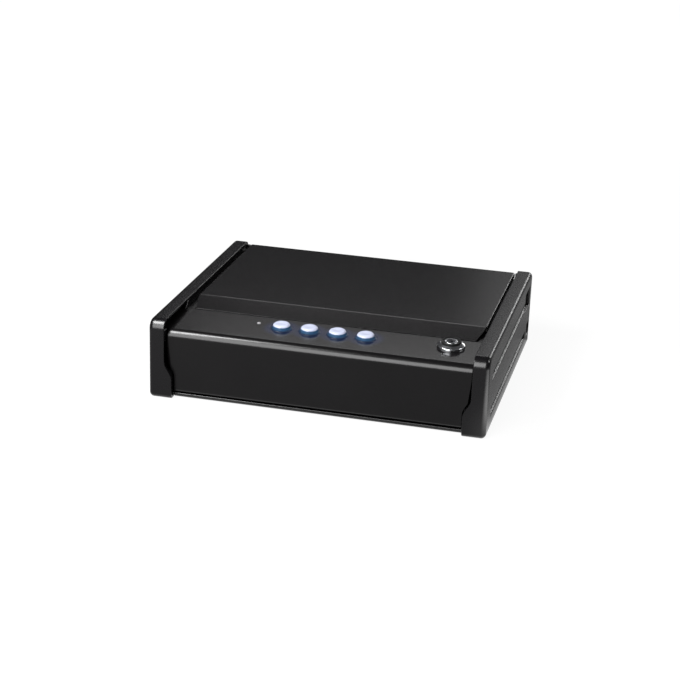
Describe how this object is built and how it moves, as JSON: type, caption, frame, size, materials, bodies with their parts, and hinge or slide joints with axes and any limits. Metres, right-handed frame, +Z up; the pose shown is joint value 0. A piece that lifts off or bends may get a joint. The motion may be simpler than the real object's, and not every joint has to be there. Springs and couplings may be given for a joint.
{
  "type": "electronic safe",
  "caption": "Low steel lock box with moulded end caps, a sloped keypad panel with domed keys and a key lock, and a rear-hinged lid over a foam-lined compartment",
  "frame": {"origin": "middle of the underside, on the surface the safe stands on", "axes": "+X to the right as seen from the keypad side, +Y to the hinge side, +Z up"},
  "size_m": [0.289, 0.24, 0.07],
  "materials": {
    "steel_powder": "black powder coat",
    "cap_plastic": "fine moulded texture",
    "rubber_black": "moulded",
    "zinc_screw": "zinc plated",
    "dark_screw": "black oxide",
    "plated_steel": "zinc plated",
    "chrome": "bright nickel chrome",
    "brass": "turned",
    "key_silicone": "translucent, lit from below",
    "ring_plastic": "clear blue",
    "light_lens": "clear",
    "board_green": "solder resist",
    "chip_black": "moulded epoxy",
    "led_white": "moulded",
    "socket_white": "moulded nylon",
    "holder_plastic": "moulded",
    "cell_jacket": "printed film, plain",
    "lead_red": "soft PVC",
    "coil_tape": "polyester tape",
    "foam_black": "open-cell foam",
    "program_red": "moulded"
  },
  "bodies": {
    "body": {"base_tray": "steel_powder", "front_fascia": "steel_powder", "left_end_cap": "cap_plastic", "right_end_cap": "cap_plastic", "foot_pads": "rubber_black", "bulkhead": "steel_powder", "cap_screws": "zinc_screw", "panel_screws": "zinc_screw", "face_screws": "dark_screw", "bulkhead_screws": "zinc_screw", "solenoid_screws": "zinc_screw", "light_rings": "ring_plastic", "status_light": "light_lens", "circuit_board": "board_green", "board_posts": "brass", "board_screws": "zinc_screw", "key_switches": "chip_black", "key_leds": "led_white", "control_chips": "chip_black", "buzzer": "chip_black", "lead_sockets": "socket_white", "lock_barrel": "chrome", "lock_nut": "plated_steel", "battery_holder": "holder_plastic", "battery_cells": "cell_jacket", "battery_contacts": "plated_steel", "program_switch": "chip_black", "battery_lead": "lead_red", "solenoid_lead": "lead_red", "program_lead": "lead_red", "solenoid_frame": "plated_steel", "solenoid_coil": "coil_tape", "latch_guides": "plated_steel", "body_hinge_leaf": "steel_powder", "body_rivets": "zinc_screw", "hinge_pin": "plated_steel", "lid_bumpers": "rubber_black", "floor_liner": "foam_black", "latch_spring": "plated_steel"},
    "lid": {"lid_panel": "steel_powder", "lid_hinge_leaf": "steel_powder", "lid_rivets": "zinc_screw", "lid_strikers": "steel_powder", "lid_liner": "foam_black"},
    "latch": {"latch_bar": "plated_steel", "solenoid_plunger": "plated_steel", "plunger_clip": "plated_steel"},
    "plug": {"lock_plug": "chrome", "lock_cam": "plated_steel", "cam_screw": "zinc_screw"},
    "cover": {"battery_cover": "holder_plastic"},
    "program": {"program_key": "program_red"},
    "key_1_cap": {"key_1": "key_silicone"},
    "key_2_cap": {"key_2": "key_silicone"},
    "key_3_cap": {"key_3": "key_silicone"},
    "key_4_cap": {"key_4": "key_silicone"}
  },
  "joints": [
    {"name": "lid_hinge", "type": "hinge", "parent": "body", "child": "lid", "pos_m": [0, 0.1163, 0.056], "axis": [-1, 0, 0], "range_deg": [0, 100]},
    {"name": "lock_turn", "type": "hinge", "parent": "body", "child": "plug", "pos_m": [0.1053, -0.0794, 0.06159], "axis": [0, -0.0426, 0.9991], "range_deg": [-90, 0]},
    {"name": "latch_slide", "type": "slide", "parent": "body", "child": "latch", "axis": [1, 0, 0], "range_m": [0, 0.008], "deforming": ["latch_spring"]},
    {"name": "cover_lift", "type": "slide", "parent": "body", "child": "cover", "axis": [0, 1, 0], "range_m": [0, 0.04]},
    {"name": "program_press", "type": "slide", "parent": "body", "child": "program", "axis": [0, -1, 0], "range_m": [0, 0.001], "stiffness_N_per_m": 400, "springref_m": -0.0005},
    {"name": "key_1_press", "type": "slide", "parent": "body", "child": "key_1_cap", "axis": [0, 0.0426, -0.9991], "range_m": [0, 0.0012], "stiffness_N_per_m": 500, "springref_m": -0.0005},
    {"name": "key_2_press", "type": "slide", "parent": "body", "child": "key_2_cap", "axis": [0, 0.0426, -0.9991], "range_m": [0, 0.0012], "stiffness_N_per_m": 500, "springref_m": -0.0005},
    {"name": "key_3_press", "type": "slide", "parent": "body", "child": "key_3_cap", "axis": [0, 0.0426, -0.9991], "range_m": [0, 0.0012], "stiffness_N_per_m": 500, "springref_m": -0.0005},
    {"name": "key_4_press", "type": "slide", "parent": "body", "child": "key_4_cap", "axis": [0, 0.0426, -0.9991], "range_m": [0, 0.0012], "stiffness_N_per_m": 500, "springref_m": -0.0005}
  ],
  "couplings": [
    {"joint": "lock_turn", "follows": "latch_slide", "rad_per_m": -196.3}
  ]
}
